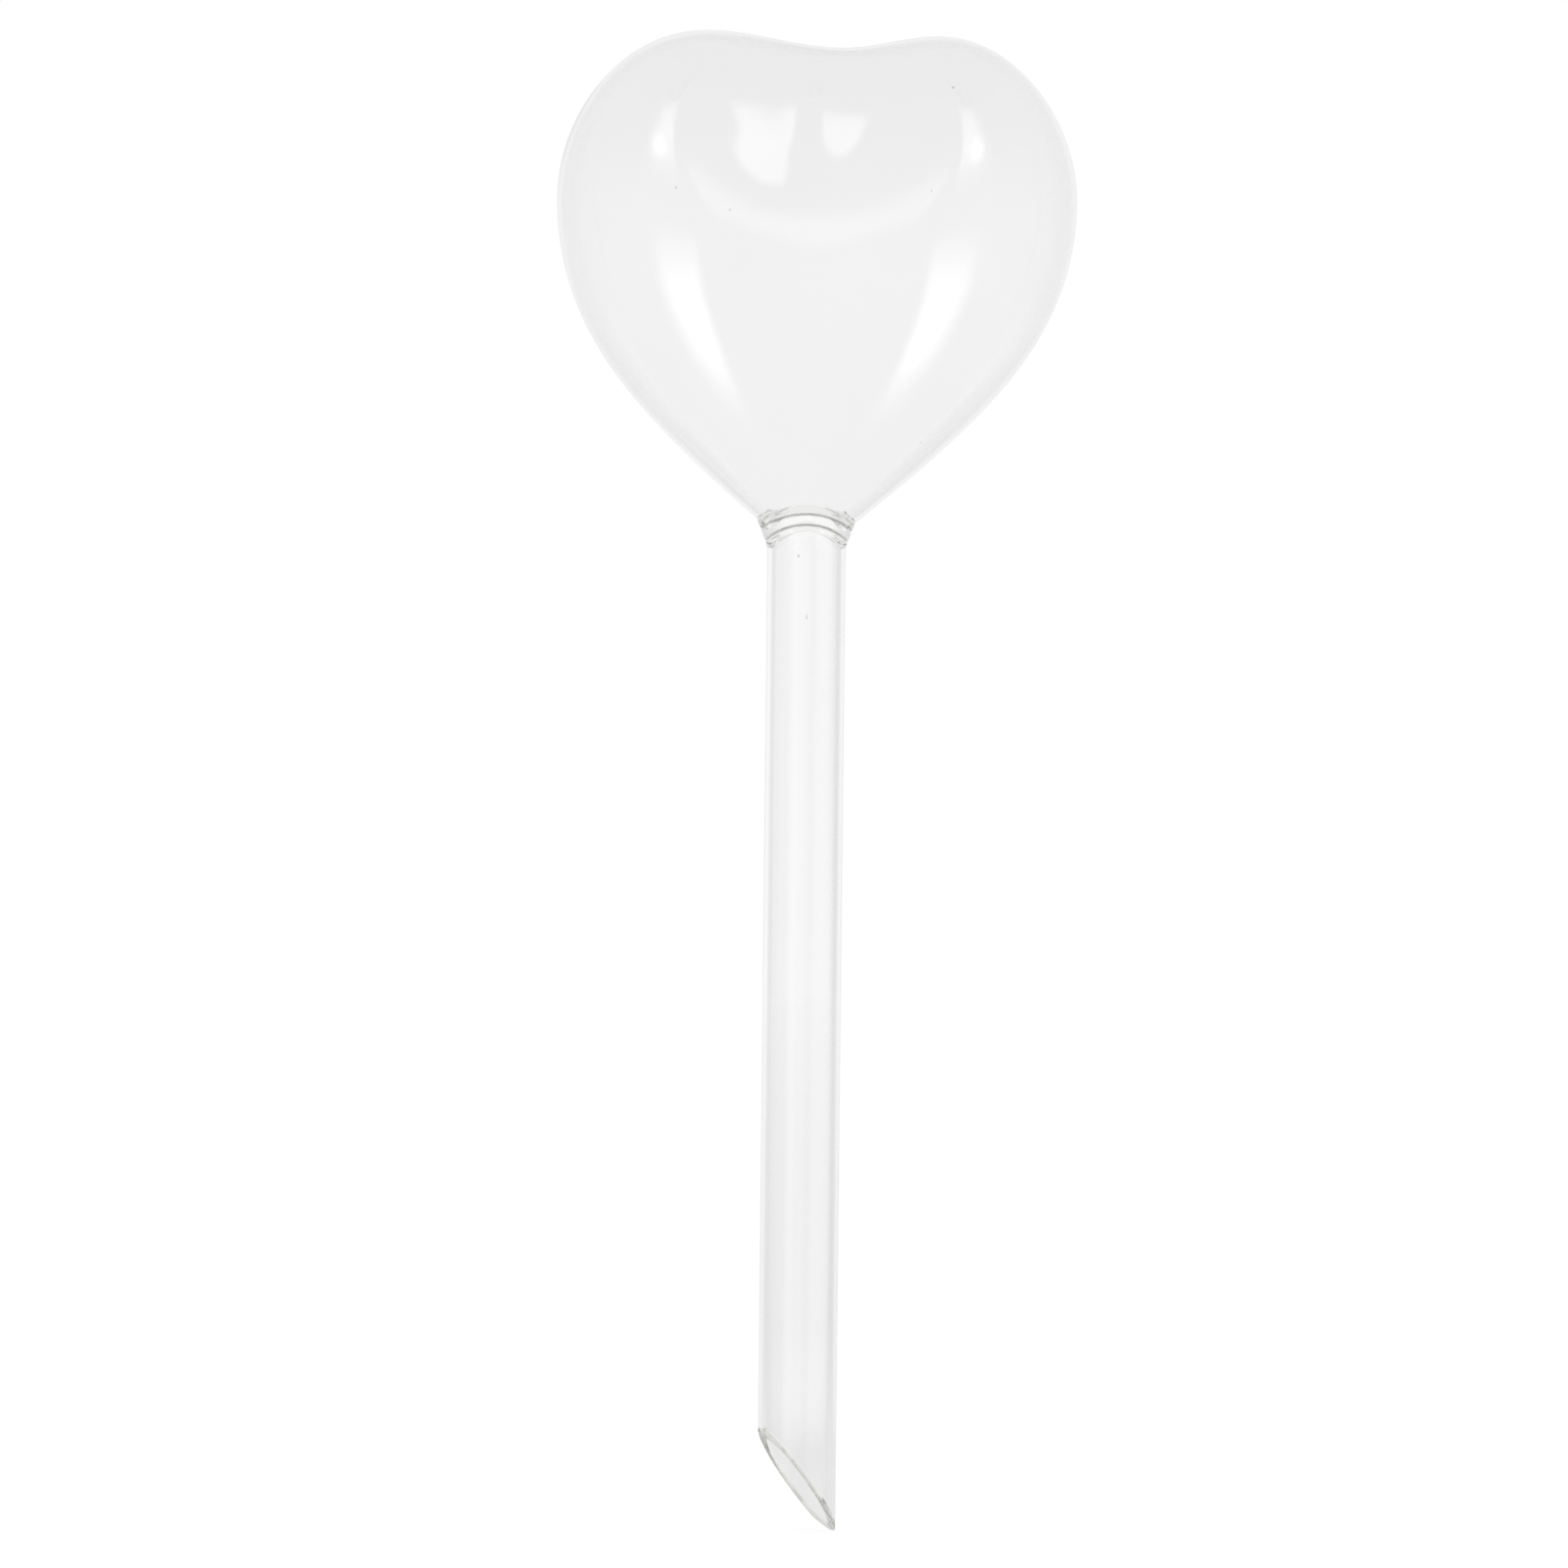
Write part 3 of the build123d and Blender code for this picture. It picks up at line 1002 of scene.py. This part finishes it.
    def hang_softbox(self, studio, side, angles):
        """Hang a softbox as the front wall reflects it: a dim cloth round a hot spot."""
        size = (studio.lamp_wide, studio.lamp_tall)
        tree = self.hang_lamp(studio, "softbox", angles, size, studio.lamp, False)
        spot, across, up = self.cloth_shares(tree, side)
        cloth = self.fade_cloth(tree, (across, SOFTBOX_ACROSS), (up, SOFTBOX_UP))
        place = add_node(tree, "VectorMath", {0: spot, 1: (*size, 0.0)}, operation="MULTIPLY")
        middle = (studio.lamp_wide * (0.5 - studio.hot_side * side), studio.lamp_tall * studio.hot_rise, 0.0)
        off = add_node(tree, "VectorMath", {0: place.outputs[0], 1: middle}, operation="DISTANCE")
        hot = remap(tree, off.outputs["Value"], (0.0, studio.hot_reach), (1.0, 0.0), smooth=True)
        self.light_cloth(tree, combine(tree, "MULTIPLY_ADD", cloth, studio.lamp_cloth, hot))

    def hang_sheet(self, studio, side, angles):
        """Hang the same softbox as it shows through the glass: a tall sheet, crisp on its inner side."""
        size = (studio.lamp_wide, studio.sheet_tall)
        tree = self.hang_lamp(studio, "softbox_sheet", angles, size, studio.sheet, True)
        _, across, up = self.cloth_shares(tree, side)
        cloth = self.fade_cloth(tree, (across, SHEET_ACROSS), (up, SHEET_UP))
        slant = combine(tree, "MULTIPLY_ADD", up, SHEET_LEAN, across)
        point = remap(tree, slant, SHEET_SLANT, (1.0, 0.0), smooth=True)
        self.light_cloth(tree, combine(tree, "MULTIPLY", cloth, point))

    def hang_fill(self, studio):
        """Hang the soft fill above the camera, which gives the light band below the dent."""
        angles = (0.0, studio.fill_lift, 0.0)
        size = (studio.fill_wide, studio.fill_tall)
        tree = self.hang_lamp(studio, "front_fill", angles, size, studio.fill, False)
        _, across, up = self.cloth_shares(tree, 1)
        self.light_cloth(tree, self.fade_cloth(tree, (across, FILL_ACROSS), (up, FILL_UP)))

    def place_camera(self, scene, studio):
        """Place the camera in front of the globe, far off, with a long lens."""
        lens = bpy.data.cameras.new("camera")
        lens.sensor_width = 36.0
        lens.lens = lens.sensor_width * studio.camera_far / studio.view
        lens.clip_end = 100.0
        camera = bpy.data.objects.new("camera", lens)
        camera.location = (-studio.camera_left, -studio.camera_far, -studio.camera_below)
        camera.rotation_euler = (pi / 2, studio.roll, 0.0)
        scene.collection.objects.link(camera)
        scene.camera = camera


class GLOBE_PT_watering_globe(bpy.types.Panel):
    """Sizes, finishes and steps of the watering globe"""

    bl_idname = "GLOBE_PT_watering_globe"
    bl_label = "Watering globe"
    bl_space_type = "VIEW_3D"
    bl_region_type = "UI"
    bl_category = "Globe"

    def draw(self, context):
        """List the steps and every setting."""
        for step in OPERATORS:
            self.layout.operator(step.bl_idname)
        for name in GROUPS:
            box = self.layout.box()
            settings = getattr(context.scene, name)
            for entry in settings.__annotations__:
                box.prop(settings, entry)


GROUPS = {
    "heart_bulb": HeartBulbSizes,
    "neck": NeckSizes,
    "stem_tube": StemTubeSizes,
    "glass_finish": GlassFinish,
    "studio": StudioSettings,
}
OPERATORS = (
    GLOBE_OT_blow_heart_bulb,
    GLOBE_OT_draw_stem_tube,
    GLOBE_OT_fuse_neck_weld,
    GLOBE_OT_trap_seeds,
    GLOBE_OT_set_studio,
)


def register():
    """Make the settings, the steps and the panel known."""
    for name, group in GROUPS.items():
        bpy.utils.register_class(group)
        setattr(bpy.types.Scene, name, PointerProperty(type=group))
    for step in OPERATORS:
        bpy.utils.register_class(step)
    bpy.utils.register_class(GLOBE_PT_watering_globe)


def unregister():
    """Take them away again."""
    bpy.utils.unregister_class(GLOBE_PT_watering_globe)
    for step in reversed(OPERATORS):
        bpy.utils.unregister_class(step)
    for name, group in reversed(GROUPS.items()):
        delattr(bpy.types.Scene, name)
        bpy.utils.unregister_class(group)


def main():
    """Build the globe and its studio."""
    register()
    bpy.ops.globe.blow_heart_bulb()
    bpy.ops.globe.draw_stem_tube()
    bpy.ops.globe.fuse_neck_weld()
    bpy.ops.globe.trap_seeds()
    bpy.ops.globe.set_studio()


if __name__ == "__main__":
    main()
